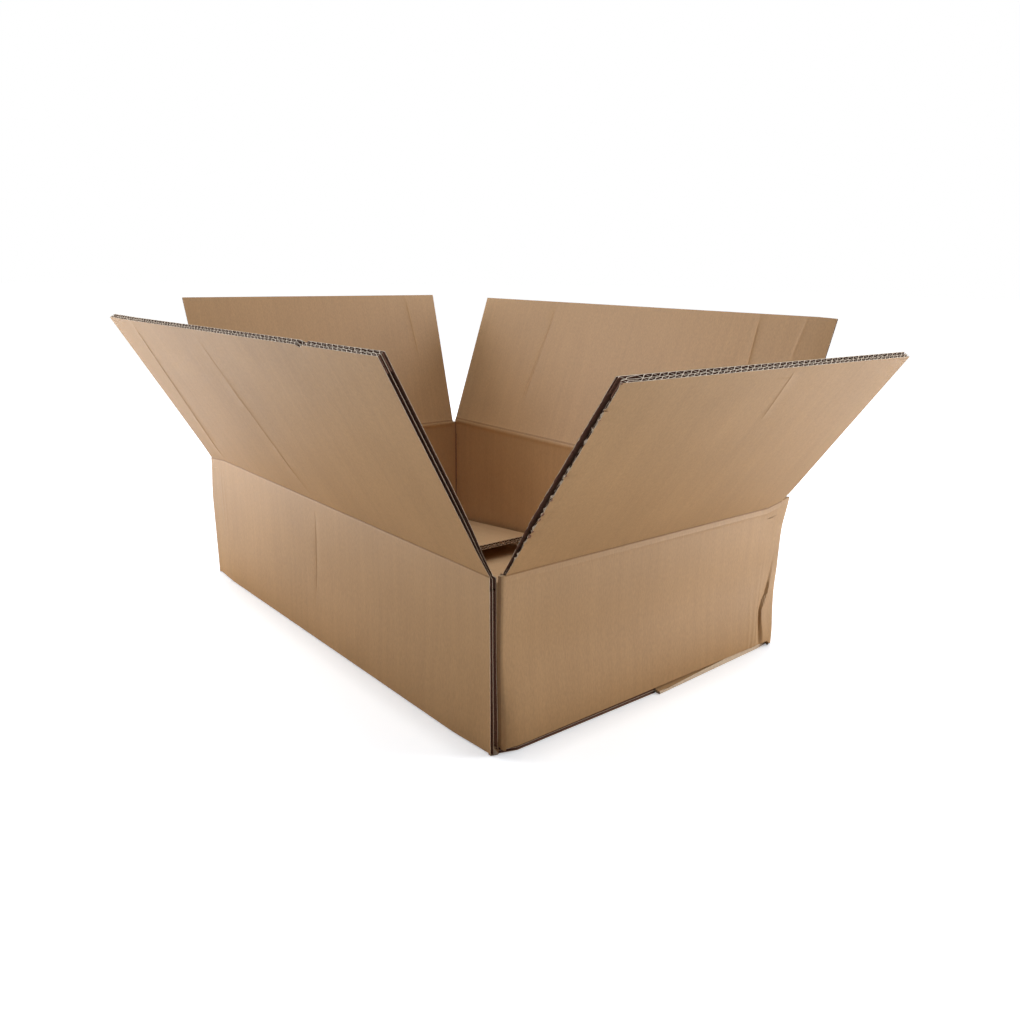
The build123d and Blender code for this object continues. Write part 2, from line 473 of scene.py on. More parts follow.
LINER_X, LINER_Y, CUT_EDGE, FLUTING_AND_SHADE, SHADED_LINER = range(5)
PAPERS = ("kraft_liner_x", "kraft_liner_y", "cut_edge", "fluting", "pressed_liner")


def finishes():
    """The papers, in the order of the material numbers above."""
    made = bpy.data.materials
    if "kraft_liner_x" not in made:
        kraft_liner("kraft_liner_x", "x", colours().liner)
        kraft_liner("kraft_liner_y", "y", colours().liner)
        # The darker liner is painted shade for the creases and the tab bend
        kraft_liner("pressed_liner", "x", colours().pressed)
        paper("cut_edge", colours().edge, 0.8, 1.15, 900.0)
        paper("fluting", colours().medium, 0.75, 1.2, 600.0)
    return [made[name] for name in PAPERS]


def dress(piece):
    """Give a piece all the papers as material slots."""
    piece.data.materials.clear()
    for material in finishes():
        piece.data.materials.append(material)


def paint(piece, test, number):
    """Give the faces that pass a test one of the papers."""
    for face in piece.data.polygons:
        if test(face):
            face.material_index = number


# Layered board


def wave_ribbon(name, length, pitch, low, high, top):
    """Waved paper along X between two liners, seen at a cut across the flutes."""
    paper_thickness = board().medium
    waves = int(length // pitch)
    pitch = length / waves
    depth = board().wave_depth
    bpy.ops.object.select_all(action="DESELECT")
    bpy.ops.mesh.primitive_grid_add(
        x_subdivisions=8, y_subdivisions=1, size=1.0, rotation=(math.pi / 2, 0, 0),
        location=((pitch - length) / 2, (low + high) / 2, top - depth / 2),
    )
    piece = bpy.context.object
    piece.name = name
    piece.scale = (pitch, depth, 1.0)
    settle()
    swing = (high - low - paper_thickness) / 2
    for vertex in piece.data.vertices:
        phase = 2 * math.pi * (vertex.co.x + length / 2) / pitch
        vertex.co.y += swing * math.sin(phase)
    repeat = piece.modifiers.new("repeat", "ARRAY")
    repeat.count = waves
    repeat.use_relative_offset = True
    repeat.relative_offset_displace = (1.0, 0.0, 0.0)
    repeat.use_merge_vertices = True
    apply_modifier(piece, "repeat")
    thick = piece.modifiers.new("thick", "SOLIDIFY")
    thick.thickness = paper_thickness
    thick.offset = 0.0
    apply_modifier(piece, "thick")
    dress(piece)
    paint(piece, lambda face: True, FLUTING_AND_SHADE)
    paint(piece, lambda face: face.normal.z > 0.9, CUT_EDGE)
    return piece


def layers():
    """Limits of the board's layers across its thickness, from the outside in."""
    sizes = board()
    steps = (sizes.liner, sizes.fine_flute, sizes.liner, sizes.coarse_flute, sizes.liner)
    limits, edge = [], 0.0
    for step in steps:
        limits.append((edge, edge + step))
        edge += step
    return limits


def layered_board(name, length, bottom, top, across, cuts_x, cuts_z):
    """Upright panel along X with its outer face at y = 0: three liners, two cores and two waves."""
    sizes = board()
    outer, fine, middle, coarse, inner = layers()
    half = length / 2
    pieces = []
    face_number = LINER_X if across == "x" else LINER_Y
    for index, (low, high) in enumerate((outer, middle, inner)):
        sheet = add_block(f"{name}_liner_{index}", (-half, low, bottom), (half, high, top))
        edit(sheet)
        slice_at("z", cuts_z)
        slice_at("x", cuts_x)
        leave()
        dress(sheet)
        paint(sheet, lambda face: True, face_number)
        paint(sheet, lambda face: abs(face.normal.y) < 0.5, CUT_EDGE)
        paint(sheet, lambda face: face.normal.y > 0.5 and index < 2, FLUTING_AND_SHADE)
        paint(sheet, lambda face: face.normal.y < -0.5 and index > 0, FLUTING_AND_SHADE)
        pieces.append(sheet)
    for index, (low, high) in enumerate((fine, coarse)):
        core = add_block(
            f"{name}_core_{index}",
            (-half + sizes.side_recess, low, bottom),
            (half - sizes.side_recess, high, top - sizes.wave_depth),
        )
        edit(core)
        slice_at("z", [cut for cut in cuts_z if cut < top - sizes.wave_depth])
        slice_at("x", [cut for cut in cuts_x if abs(cut) < half - sizes.side_recess])
        leave()
        dress(core)
        paint(core, lambda face: True, FLUTING_AND_SHADE)
        pieces.append(core)
    for index, ((low, high), pitch) in enumerate(((fine, sizes.fine_pitch), (coarse, sizes.coarse_pitch))):
        pieces.append(wave_ribbon(f"{name}_wave_{index}", length - sizes.liner, pitch, low, high, top))
    return join(name, pieces)


def fold_out(piece, lean, rise):
    """Fold a panel out at a height in small turns about its outer face, so that the crease is rounded."""
    heights = [vertex.co.z for vertex in piece.data.vertices]
    half = box().crease_round
    spacing = 2 * half / FOLD_TURNS
    pivot = Vector((0.0, 0.0, rise - half + spacing / 2))
    level = pivot.z
    turned = 0.0
    edit(piece)
    for _ in range(FOLD_TURNS):
        pick(piece, "verts", lambda vertex: heights[vertex.index] > level)
        bpy.ops.transform.rotate(
            value=-lean / FOLD_TURNS, orient_axis="X", orient_type="GLOBAL", center_override=pivot
        )
        turned += lean / FOLD_TURNS
        pivot = pivot + spacing * Vector((0.0, -math.sin(turned), math.cos(turned)))
        level += spacing
    leave()


def flap_lean(body):
    """Lean of an open flap from upright, from its joint's shut limit."""
    return math.radians(-JOINTS[body]["range_deg"][0] - SHUT_TURN)


def smooth(share):
    """Soft step from 0 to 1."""
    share = max(0.0, min(1.0, share))
    return share * share * (3 - 2 * share)


def score_line(piece, face_name, first, last, height, width, front=0.0):
    """Press a fine line along the flutes into one face of a flat panel whose outer face is at a depth."""
    height, width = height * MM, width * MM
    cut_beside, cut_beyond = 25 * MM, 20 * MM
    side = -1.0 if face_name == "outer" else 1.0
    level = front if face_name == "outer" else front + board_thickness()
    start = Vector((first[0] * MM, level, first[1] * MM))
    end = Vector((last[0] * MM, level, last[1] * MM))
    along = (end - start).normalized()
    across = Vector((along.z, 0, -along.x))
    length = (end - start).length
    edit(piece)

    def beside(face):
        offset = face.calc_center_median() - start
        on_face = face.normal.y * side > 0.9 and near(offset.y, 0)
        at_line = -cut_beyond < offset.dot(along) < length + cut_beyond
        return on_face and at_line and abs(offset.dot(across)) < cut_beside

    for step in (-2, -1, 0, 1, 2):
        cut_faces(piece, beside, start + across * step * width, across)
    leave()
    for vertex in piece.data.vertices:
        offset = vertex.co - start
        share, gap = offset.dot(along) / length, offset.dot(across)
        if near(offset.y, 0) and 0 < share < 1 and abs(gap) < 1.5 * width:
            fade = min(1.0, 12 * share, 12 * (1 - share))
            vertex.co.y += side * height * fade * math.exp(-((gap / width) ** 2))


def twist(piece, length, low_end, high_end):
    """Lean one end of a flat panel further than the other."""
    for vertex in piece.data.vertices:
        share = vertex.co.x / length + 0.5
        angle = math.radians(low_end + (high_end - low_end) * share)
        vertex.co.y -= max(0.0, vertex.co.z) * math.tan(angle) * smooth(vertex.co.z / TWIST_RISE)


def wear_front_flap(piece):
    """Nick in the free edge, and the strip beyond the pressed line bent back a little."""
    sizes = box()
    top = sizes.flap_depth
    _, (head_x, head_z), (foot_x, foot_z), _, _ = SCORES["front_flap"][0]
    run = (foot_x - head_x) / (foot_z - head_z)
    for vertex in piece.data.vertices:
        x, _, z = vertex.co
        beyond = head_x * MM + run * (z - head_z * MM) - x
        if beyond > 0 and z > 0:
            vertex.co.y += beyond * math.tan(sizes.strip_bend) * smooth(z / TWIST_RISE)
        share = 1 - abs(x - sizes.nick_place) / sizes.nick_width
        if share > 0 and z > top - 2 * sizes.nick_depth:
            rise = (z - top) / (2 * sizes.nick_depth) + 1
            vertex.co.z -= sizes.nick_depth * share * rise
            vertex.co.y += sizes.nick_depth / 4 * share * rise


def wear_right_flap(piece, length):
    """Torn near edge, and a bead below the crease."""
    chance = random.Random(4)
    low, high = layers()[2]
    fray, middle_short = 0.5 * MM, 2.5 * MM
    curl_share, curl_x, curl_y = 0.14, (-0.8 * MM, 0.0), (0.8 * MM, 2.0 * MM)
    bead_height, bead_width = 0.4 * MM, 1.4 * MM
    for vertex in piece.data.vertices:
        if vertex.co.x < -length / 2 + TOUCH and vertex.co.z > 2 * box().crease_round:
            vertex.co.x += chance.uniform(-fray, fray)
            if vertex.co.y < board().liner + TOUCH and chance.random() < curl_share:
                vertex.co += Vector((chance.uniform(*curl_x), chance.uniform(*curl_y), 0))
            if low - TOUCH < vertex.co.y < high + TOUCH:
                vertex.co.x += middle_short
        if near(vertex.co.y, 0, TOUCH / 2) and vertex.co.z < 0:
            drop = (vertex.co.z + box().bead_drop) / bead_width
            strength = 0.35 + 0.65 * smooth(vertex.co.x / length + 0.5)
            vertex.co.y -= bead_height * strength * math.exp(-drop * drop)


def press_crease(piece, rise):
    """Fine valley outside and a soft ridge inside, where the board is creased, with a band of darker liner
    painted along it as painted shade.
    """
    thick = board_thickness()
    valley_depth, valley_width = 0.5 * MM, 1.2 * MM
    ridge_height, ridge_width, ridge_drop = 0.9 * MM, 2.6 * MM, 1.0 * MM
    dark_outside, dark_inside, dark_rise = 0.9 * MM, 0.7 * MM, 1.7 * MM

    def dark(face):
        if face.normal.y < -0.9:
            return near(face.center.z, rise, dark_outside)
        return face.normal.y > 0.9 and near(face.center.z, rise + dark_rise, dark_inside)

    # Painted shade: a thin band of darker liner along the crease outside, and just above the ridge inside,
    # where the crease's small shadow falls
    paint(piece, dark, SHADED_LINER)
    for vertex in piece.data.vertices:
        level, z = vertex.co.y, vertex.co.z - rise
        if level < thick / 2:
            depth = valley_depth * (1 - 2 * level / thick)
            vertex.co.y += depth * math.exp(-((z / valley_width) ** 2))
        elif near(level, thick, TOUCH / 2) and vertex.co.z > MM - box().crease_band:
            vertex.co.y += ridge_height * math.exp(-(((z + ridge_drop) / ridge_width) ** 2))


def squeeze_end(piece, length, side):
    """Crush one end of a panel thinner towards its crease."""
    run, above, below, loss = 30 * MM, 40 * MM, 1.5 * MM, 0.5
    for vertex in piece.data.vertices:
        inside = length / 2 - side * vertex.co.x
        if inside < run:
            height = vertex.co.z / (above if vertex.co.z > 0 else below)
            vertex.co.y *= 1 - loss * math.exp(-height * height) * (1 - smooth(inside / run))


def crush_end(piece, length, side):
    """Press one end of a panel flat against its outer face, all the way up."""
    run, rise, loss = 20 * MM, 20 * MM, 0.75
    for vertex in piece.data.vertices:
        inside = length / 2 - side * vertex.co.x
        flat = loss * max(0.0, 1 - inside / run) * smooth(vertex.co.z / rise)
        vertex.co.y *= 1 - flat


def meet_raw_end(piece, length):
    """Lengthen the crease of the front flap to the raw end of the wall below it."""
    sizes = box()
    for vertex in piece.data.vertices:
        if near(vertex.co.x, length / 2):
            fade = smooth(vertex.co.z / sizes.meet_height)
            vertex.co.x += (sizes.long_inset - sizes.raw_head) * (1 - fade)


def skew_end(piece, length):
    """Draw the upper part of one end of the left flap forwards a little."""
    run, lead = 50 * MM, 6 * MM
    for vertex in piece.data.vertices:
        share = smooth((vertex.co.x - length / 2 + run) / run)
        vertex.co.x += lead * share * max(0.0, vertex.co.z) / box().flap_depth


def wear_flap(piece, body, length):
    """Twist, nick, tears and crushed ends of one flap."""
    if body in TWISTS:
        twist(piece, length, *TWISTS[body])
    if body == "front_flap":
        meet_raw_end(piece, length)
        wear_front_flap(piece)
        squeeze_end(piece, length, 1)
    elif body == "right_flap":
        wear_right_flap(piece, length)
        squeeze_end(piece, length, -1)
    elif body == "back_flap":
        crush_end(piece, length, -1)
    else:
        crush_end(piece, length, 1)
        skew_end(piece, length)


def flap_cuts(body, length, rise):
    """Places along and up a flap where its board is cut, so that it can bend."""
    sizes = box()
    half = sizes.crease_round
    turns = [2 * index / FOLD_TURNS - 1 for index in range(FOLD_TURNS + 1)] + [-3, -2, -1.5, 1.5, 2]
    cuts_x = spread(-length / 2, length / 2, PANEL_STEP)
    cuts_z = [rise + half * turn for turn in turns] + spread(rise + 2 * half, sizes.flap_depth, FLAP_STEP)
    if body == "front_flap":
        cuts_x += [sizes.nick_place + sizes.nick_width * share for share in (-1, -0.5, 0, 0.5, 1)]
    if body == "right_flap":
        torn_strip, bead_step = 3.5 * MM, 1.3 * MM
        cuts_x.append(-length / 2 + torn_strip)
        cuts_z += [-sizes.bead_drop + bead_step * step for step in (-2, -1, 0, 1)]
        cuts_z += spread(2 * half, sizes.flap_depth, TORN_STEP)
    return cuts_x, cuts_z


def make_flap(body):
    """One top flap with its crease, bent between the shell and the flap."""
    sizes = box()
    is_long = body in ("front_flap", "back_flap")
    across = "x" if is_long else "y"
    length = outer_length() - 2 * sizes.long_inset if is_long else outer_width() - 2 * sizes.short_inset
    reach = outer_width() / 2 if is_long else outer_length() / 2
    rise = RISES[body] * MM
    cuts = flap_cuts(body, length, rise)
    piece = layered_board(body + "_board", length, -sizes.crease_band, sizes.flap_depth, across, *cuts)
    for score in SCORES[body]:
        score_line(piece, *score)
    press_crease(piece, rise)
    wear_flap(piece, body, length)
    lean = flap_lean(body)
    fold_out(piece, math.asin(math.sin(lean) * sizes.flap_depth / (sizes.flap_depth - rise)), rise)
    turn = math.radians(TURNS[body])
    outward = Matrix.Rotation(turn, 3, "Z") @ Vector((0, -1, 0))
    crease = outward * reach + Vector((0, 0, sizes.crease_height))
    place(piece, turn, crease)
    draw_in_corner(piece)
    draw_out_corner(piece)
    crease = crease + Vector((0, 0, rise / 2))
    finish_piece(piece)
    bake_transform(piece)
    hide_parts(body)


def draw_in_corner(piece):
    """Top of the front left corner, drawn in and down a little."""
    where = Vector((-outer_length() / 2, -outer_width() / 2, box().crease_height))
    move, reach = Vector((5.0, 1.0, -4.0)) * MM, 60 * MM
    pull(piece, where, move, reach)


def draw_out_corner(piece):
    """Top of the far right corner, drawn out and up a little by the right flap."""
    where = Vector((outer_length() / 2, outer_width() / 2, box().crease_height))
    move, reach = Vector((3.0, 3.0, 8.0)) * MM, 30 * MM
    pull(piece, where, move, reach)


def finish_piece(piece):
    """Smooth shading over rounded folds, sharp at cut edges."""
    activate(piece)
    bpy.ops.object.shade_smooth_by_angle(angle=SHARP_ANGLE)


# Folded shell


def middle_of(edge):
    return (edge.verts[0].co + edge.verts[1].co) / 2


def near(value, target, slack=SLACK):
    return abs(value - target) < slack


def extrude_edges(piece, test, move):
    pick(piece, "edges", test)
    extrude(move)


def folded_sheet():
    """Walls, tab and bottom flaps as one sheet folded from the raw end of the front wall."""
    sizes = box()
    thick = board_thickness()
    half_l, half_w = half_sizes()
    top = sizes.crease_height - sizes.crease_band
    bpy.ops.object.select_all(action="DESELECT")
    bpy.ops.mesh.primitive_plane_add(size=1.0, rotation=(math.pi / 2, 0, 0), location=(0, -half_w, top / 2))
    sheet = bpy.context.object
    sheet.name = "box_shell_board"
    sheet.scale = (2 * half_l, top, 1)
    settle()
    edit(sheet)
    tab_face = -half_w + thick + sizes.layer_gap
    path = ((0, 2 * half_w, 0), (2 * half_l, 0, 0), (0, tab_face - half_w, 0), (-sizes.tab_length, 0, 0))
    pick(sheet, "edges", lambda edge: near(middle_of(edge).x, -half_l))
    for move in path:
        extrude(move)

    # Bend into the tab
    def bend(edge):
        return all(near(vertex.co.x, half_l) and near(vertex.co.y, tab_face) for vertex in edge.verts)

    pick(sheet, "edges", bend)
    bpy.ops.mesh.bevel(offset=sizes.tab_bend, segments=5, affect="EDGES")

    # Slot ends, and the levels where walls meet flaps
    long_end = half_l - sizes.long_inset
    short_end = half_w - sizes.short_inset
    slice_at("x", (-long_end, long_end, half_l - sizes.raw_inset))
    slice_at("y", (-short_end, short_end))

    def is_top(edge):
        return all(near(vertex.co.z, top) for vertex in edge.verts)

    def is_foot(edge):
        return all(near(vertex.co.z, 0) for vertex in edge.verts)

    def on_tab(edge):
        return near(middle_of(edge).y, tab_face) and middle_of(edge).x < half_l - MM

    def on_post(edge):
        middle = middle_of(edge)
        beyond = abs(middle.x) > long_end if near(abs(middle.y), half_w) else abs(middle.y) > short_end
        raw = near(middle.y, -half_w) and middle.x > 0
        return is_top(edge) and beyond and not on_tab(edge) and not raw

    low_step = sizes.crease_band - sizes.tab_drop
    extrude_edges(sheet, lambda edge: on_post(edge) or is_top(edge) and on_tab(edge), (0, 0, low_step))
    top += low_step
    extrude_edges(sheet, on_post, (0, 0, sizes.tab_drop))

    # Outer bottom flaps
    def front_foot(edge):
        middle = middle_of(edge)
        return is_foot(edge) and near(middle.y, -half_w) and -long_end < middle.x < half_l - sizes.raw_inset

    def back_foot(edge):
        return is_foot(edge) and near(middle_of(edge).y, half_w) and abs(middle_of(edge).x) < long_end

    seam = sizes.seam_shift
    extrude_edges(sheet, front_foot, (0, half_w + seam - sizes.seam_gap / 2, 0))
    extrude_edges(sheet, back_foot, (0, seam + sizes.seam_gap / 2 - half_w, 0))
    bpy.ops.transform.translate(value=(sizes.back_slip, 0, 0))

    # Inner bottom flaps, one board higher
    floor = thick + sizes.layer_gap

    def short_foot(side):
        def test(edge):
            on_wall = all(near(vertex.co.x, side * half_l) for vertex in edge.verts)
            return is_foot(edge) and on_wall and abs(middle_of(edge).y) < short_end

        return test

    def tab_foot(vertex):
        x, y, z = vertex.co
        return near(z, 0) and tab_face - MM < y < -short_end - TOUCH and x > half_l - 2 * sizes.tab_length

    pick(sheet, "verts", tab_foot)
    bpy.ops.transform.translate(value=(0, 0, floor))
    for side, run in ((-1, sizes.lift_start), (1, sizes.flap_depth)):
        pick(sheet, "edges", short_foot(side))
        bpy.ops.transform.translate(value=(0, 0, floor))
        extrude((-side * run, 0, 0))
        if side < 0:
            bpy.ops.transform.translate(value=(0, 0, run * math.tan(sizes.inner_lift)))

    # Rounded folds
    def corner(edge):
        low, high = edge.verts
        upright = near(low.co.x, high.co.x) and near(low.co.y, high.co.y)
        place_x, place_y = low.co.x, low.co.y
        corners = ((-half_l, -half_w), (-half_l, half_w), (half_l, half_w))
        return upright and any(near(place_x, x) and near(place_y, y) for x, y in corners)

    def bottom_fold(edge):
        return front_foot(edge) or back_foot(edge) or any(
            all(near(vertex.co.z, floor) and near(vertex.co.x, side * half_l) for vertex in edge.verts)
            for side in (-1, 1)
        )

    for test in (corner, bottom_fold):
        pick(sheet, "edges", test)
        bpy.ops.mesh.bevel(offset=sizes.fold_radius, segments=4, affect="EDGES")

    # Raw end of the front wall, cut a little short, most at the top
    leave()
    wall_slack = 4 * MM
    for vertex in sheet.data.vertices:
        x, y, z = vertex.co
        if x > long_end and y < -half_w + wall_slack:
            back = sizes.raw_foot + (sizes.raw_head - sizes.raw_foot) * z / sizes.crease_height
            vertex.co.x -= (x - long_end) / sizes.long_inset * back
    edit(sheet)
    slice_at("z", spread(2 * floor, sizes.crease_height - sizes.crease_band, WALL_STEP))
    slice_at("x", spread(-long_end, long_end, WALL_STEP))
    slice_at("y", spread(-short_end, short_end, WALL_STEP))
    bpy.ops.mesh.select_all(action="SELECT")
    bpy.ops.mesh.remove_doubles(threshold=MERGE)
    bpy.ops.mesh.normals_make_consistent(inside=False)
    leave()
    return sheet


def thicken(sheet):
    """Give the folded sheet the board's thickness inwards, with cut edges round its rim."""
    dress(sheet)
    paint(sheet, lambda face: True, LINER_X)
    paint(sheet, lambda face: abs(face.normal.x) > 0.7, LINER_Y)
    thick = sheet.modifiers.new("thick", "SOLIDIFY")
    thick.thickness = board_thickness()
    thick.offset = -1.0
    thick.use_even_offset = False
    thick.use_rim = True
    rim = len(sheet.data.polygons)
    apply_modifier(sheet, "thick")
    for face in sheet.data.polygons[2 * rim:]:
        face.material_index = CUT_EDGE


def shade_corner_folds(sheet):
    """Painted shade: a thin strip of the waved paper's colour on the inner face in each upright fold, where
    the fold's gap lies in shadow.
    """
    thick, strip = board_thickness(), 1.3 * MM
    on_liner, cut_beside = 0.3 * MM, 14 * MM
    inner_l, inner_w = outer_length() / 2 - thick, outer_width() / 2 - thick
    edit(sheet)
    for side_x, side_y in ((-1, -1), (-1, 1), (1, 1)):
        at_x, at_y = side_x * inner_l, side_y * inner_w

        def beside(face):
            middle = face.calc_center_median()
            on_face = near(middle.x, at_x, on_liner) or near(middle.y, at_y, on_liner)
            return on_face and near(middle.x, at_x, cut_beside) and near(middle.y, at_y, cut_beside)

        for place_at, axis in ((at_x - side_x * strip, "x"), (at_y - side_y * strip, "y")):
            cut_faces(sheet, beside, axis_normal(axis) * place_at, axis_normal(axis))
    leave()

    def in_fold(place):
        return any(
            near(abs(along), inner, on_liner) and abs(across) > limit - strip + TOUCH
            for along, inner, across, limit in (
                (place.x, inner_l, place.y, inner_w), (place.y, inner_w, place.x, inner_l),
            )
        ) and not (place.x > 0 and place.y < 0)

    # Painted shade: the strips beside each inner fold get the dark waved-paper colour
    paint(sheet, lambda face: in_fold(face.center), FLUTING_AND_SHADE)


def cut_groove(piece, test, axis, limits, inward, number=FLUTING_AND_SHADE):
    """Open the flute rows in a cut end: slice its faces and sink the strips between the liners."""
    normal = axis_normal(axis)
    for limit in limits:
        cut_faces(piece, test, normal * limit, normal)
    rows = list(zip(limits[0::2], limits[1::2]))

    def in_row(face):
        middle = face.calc_center_median().dot(normal)
        return test(face) and any(low < middle < high for low, high in rows)

    pick(piece, "faces", in_row)
    piece.active_material_index = number
    bpy.ops.object.material_slot_assign()
    extrude(inward)
    bpy.ops.mesh.select_more()
    bpy.ops.object.material_slot_assign()


def flute_limits():
    """Limits of the two flute rows across the board, from its outer face."""
    _, fine, _, coarse, _ = layers()
    return (*fine, *coarse)


def open_cut_ends(sheet):
    """Flute rows seen in the raw end of the front wall and in the ends of the bottom flaps."""
    sizes = box()
    half_l, half_w = half_sizes()
    thick, recess = board_thickness(), board().end_recess
    end_slack, past_seam, slipped_recess = 1.5 * MM, 10 * MM, 0.8 * MM
    edit(sheet)

    def raw_end(face):
        middle = face.calc_center_median()
        return face.normal.x > 0.7 and middle.x > half_l - sizes.long_inset and middle.y < -half_w + thick

    def bottom_end(face):
        middle = face.calc_center_median()
        at_end = near(middle.x, half_l - sizes.raw_inset, end_slack)
        return face.normal.x > 0.9 and at_end and middle.z < thick and middle.y < past_seam

    def slipped_end(face):
        middle = face.calc_center_median()
        at_end = middle.x > half_l - sizes.long_inset
        return face.normal.x > 0.9 and at_end and middle.z < thick and middle.y > 0

    cut_groove(sheet, raw_end, "y", [limit - half_w for limit in flute_limits()], (-recess, 0, 0))
    cut_groove(sheet, bottom_end, "z", flute_limits(), (-recess, 0, 0))
    cut_groove(sheet, slipped_end, "z", flute_limits()[:2], (-slipped_recess, 0, 0), CUT_EDGE)
    leave()


def lifted_flap():
    """Left inner bottom flap, sprung up from its fold, with its cut edge open."""
    sizes = box()
    length = outer_width() - 2 * sizes.short_inset
    lift = sizes.inner_lift
    cuts_x = spread(-length / 2, length / 2, PANEL_STEP)
    cuts_z = spread(sizes.lift_start, sizes.flap_depth, PANEL_STEP)
    start = sizes.lift_start / math.cos(lift)
    panel = layered_board("lifted_flap", length, start, sizes.flap_depth, "y", cuts_x, cuts_z)
    along = Vector((math.cos(lift), 0, math.sin(lift)))
    up = Vector((-math.sin(lift), 0, math.cos(lift)))
    turn = Matrix((Vector((0, 1, 0)), up, along)).transposed().to_4x4()
    floor = board_thickness() + sizes.layer_gap
    panel.matrix_world = Matrix.Translation((-outer_length() / 2, 0, floor)) @ turn
    activate(panel)
    settle()
    return panel


def valley_at(height):
    """Place of the crushed corner's valley at a height, both in millimetres."""
    for (low, low_place), (high, high_place) in zip(VALLEY, VALLEY[1:]):
        if low <= height < high:
            return low_place + (high_place - low_place) * (height - low) / (high - low)
    return VALLEY[-1][1]


def crumple(sheet):
    """Crushed foot of the far right corner: a zigzag fold with small wrinkles beside it."""
    half_l, half_w = half_sizes()
    start, fine_start, top = half_w - 70 * MM, half_w - 38 * MM, 110 * MM
    edit(sheet)

    def corner_region(face):
        middle = face.calc_center_median()
        on_wall = face.normal.x > 0.5 and middle.x > half_l - 4 * MM
        return on_wall and middle.y > start and middle.z < top + 10 * MM

    columns = spread(half_w - 60 * MM, fine_start, 2 * MM) + spread(fine_start, half_w - 4 * MM, 1.2 * MM)
    for axis, places in (("y", columns), ("z", spread(8 * MM, top, 5 * MM))):
        normal = axis_normal(axis)
        for place_at in places:
            cut_faces(sheet, corner_region, normal * place_at, normal)
    leave()

    # Sizes of the fold and its wrinkles in millimetres
    dent, dent_reach, crest, crest_reach = 1.7, 6.0, 1.1, 14.0
    snap, wrinkle_width = 0.6, 1.9
    for vertex in sheet.data.vertices:
        if vertex.co.x < half_l - FACE_DEPTH or vertex.co.y < start or vertex.co.z > top:
            continue
        across, height = vertex.co.y / MM, vertex.co.z / MM
        valley = valley_at(height)
        fade = smooth((top / MM - height) / 55) * (0.35 + 0.65 * smooth((height - 4) / 14))
        side = across - valley
        if abs(side) < snap:
            side = 0.0
            vertex.co.y = valley * MM
        steep = 1.9 + 3.6 * smooth((43 - height) / 30)
        if side <= 0:
            push = -dent * math.exp(side / dent_reach)
        elif side < steep:
            push = (dent + crest) * side / steep - dent
        else:
            push = crest * max(0.0, 1 - (side - steep) / crest_reach)
        wrinkle = 0.0
        for ridge, lean, ridge_height in WRINKLES:
            gap = (across - ridge - lean * height) / wrinkle_width
            wrinkle += ridge_height * math.exp(-gap * gap)
        vertex.co.x += (push * fade + wrinkle * max(0.0, 1 - height * MM / top)) * MM
    pull(sheet, Vector((half_l, half_w, 35 * MM)), Vector((0, -7 * MM, 0)), 60 * MM)


def sag(sheet):
    """Lower edge of the right wall, hanging over the end of the bottom flap, most at the near corner."""
    half_l, half_w = half_sizes()
    low, high, fade = 6 * MM, 20 * MM, 8 * MM
    front, back = -half_w + 8 * MM, half_w - 11 * MM
    near_drop, far_drop = 3.4 * MM, 1.2 * MM
    for vertex in sheet.data.vertices:
        x, y, z = vertex.co
        outside = (x - half_l) / FACE_DEPTH + 1
        if outside > 0 and low < z < high and front < y < back:
            drop = near_drop + (far_drop - near_drop) * (y / outer_width() + 0.5)
            vertex.co.z -= drop * outside * smooth((high - z) / fade)


def bulge(sheet):
    """Foot of the right and front walls, pushed out by the bottom flaps between the corners."""
    sizes = box()
    half_l, half_w = half_sizes()
    top, rise = 100 * MM, 90 * MM
    depth, depth_run = 60 * MM, 50 * MM
    far_run, near_run, front_run = 10 * MM, 20 * MM, 60 * MM
    for vertex in sheet.data.vertices:
        x, y, z = vertex.co
        low = smooth((top - z) / rise)
        right = smooth((x - half_l + depth) / depth_run)
        if y > 0:
            right *= 0.4 + 0.6 * smooth((half_w - y) / far_run)
        else:
            right *= smooth((half_w + y) / near_run)
        front = smooth((-y - half_w + depth) / depth_run) * smooth((half_l - abs(x)) / front_run)
        vertex.co.x += sizes.bulge_right * low * right
        vertex.co.y -= sizes.bulge_front * low * front


def raise_back_corner(sheet):
    """Top of the far left corner, as high as the flaps bend beside it."""
    where = Vector((-outer_length() / 2, outer_width() / 2, box().crease_height))
    reach, below, rise = 25 * MM, 2 * MM, 7 * MM
    for vertex in sheet.data.vertices:
        if (vertex.co - where).length < reach and vertex.co.z > where.z - below:
            vertex.co.z += rise


def pull(piece, where, move, reach):
    """Drag the place of a piece, with its surroundings following softly."""
    for vertex in piece.data.vertices:
        vertex.co += move * (1 - smooth((vertex.co - where).length / reach))


def on_tab_bend(face):
    """Faces of the bend into the glued tab, seen beside the raw wall end, which get painted shade where the
    raw end shades them.
    """
    sizes = box()
    beside = face.center.x > outer_length() / 2 - sizes.tab_bend
    bend = -outer_width() / 2 + board_thickness() + sizes.tab_bend
    return beside and face.center.y < bend and face.normal.x > 0.2 and face.normal.y < -0.6


def on_shaded_right_rim(face):
    """Top ends of the walls at the right, given the brown face paper instead of the pale cut edge as painted
    shade, so that they do not show pale under the top light.
    """
    rim_low = 140 * MM
    return face.normal.z > 0.9 and face.center.z > rim_low and face.center.x > 0


